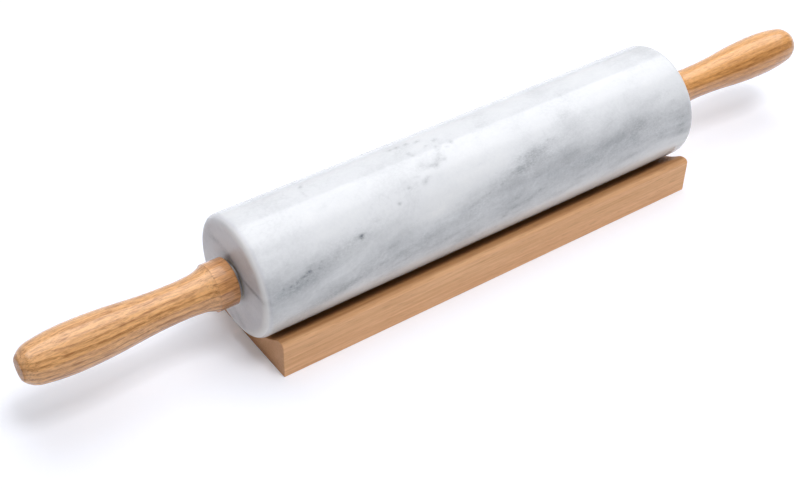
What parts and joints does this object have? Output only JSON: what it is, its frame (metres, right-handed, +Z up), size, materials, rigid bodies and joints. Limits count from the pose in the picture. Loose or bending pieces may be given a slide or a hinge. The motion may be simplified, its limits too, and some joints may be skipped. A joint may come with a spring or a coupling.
{
  "type": "rolling pin",
  "caption": "Polished marble barrel turning on a rod between turned wooden handles, lying in a coved wooden cradle.",
  "frame": {"origin": "middle of the cradle's underside, which stands on the worktop", "axes": "+X along the pin's axis, +Y across the cradle, +Z up"},
  "size_m": [0.4564, 0.0626, 0.0689],
  "materials": {
    "cradle_wood": "satin, fine straight grain",
    "marble": "polished, soft grey veins",
    "nylon": "smooth nylon",
    "rod_steel": "ground",
    "washer_steel": "zinc plated",
    "insert_brass": "turned",
    "handle_wood": "clear gloss lacquer over open grain"
  },
  "bodies": {
    "cradle": {"cradle_base": "cradle_wood"},
    "axle_and_handles": {"axle_rod": "rod_steel", "left_washer": "washer_steel", "right_washer": "washer_steel", "left_insert": "insert_brass", "right_insert": "insert_brass", "left_handle": "handle_wood", "right_handle": "handle_wood"},
    "barrel": {"marble_barrel": "marble", "left_bushing": "nylon", "right_bushing": "nylon"}
  },
  "joints": [
    {"name": "lift_off", "type": "slide", "parent": "cradle", "child": "axle_and_handles", "axis": [0, 0, 1], "range_m": [0, 0.08]},
    {"name": "barrel_spin", "type": "hinge", "parent": "axle_and_handles", "child": "barrel", "pos_m": [-0.0024, 0, 0.03915], "axis": [1, 0, 0], "continuous": true}
  ]
}
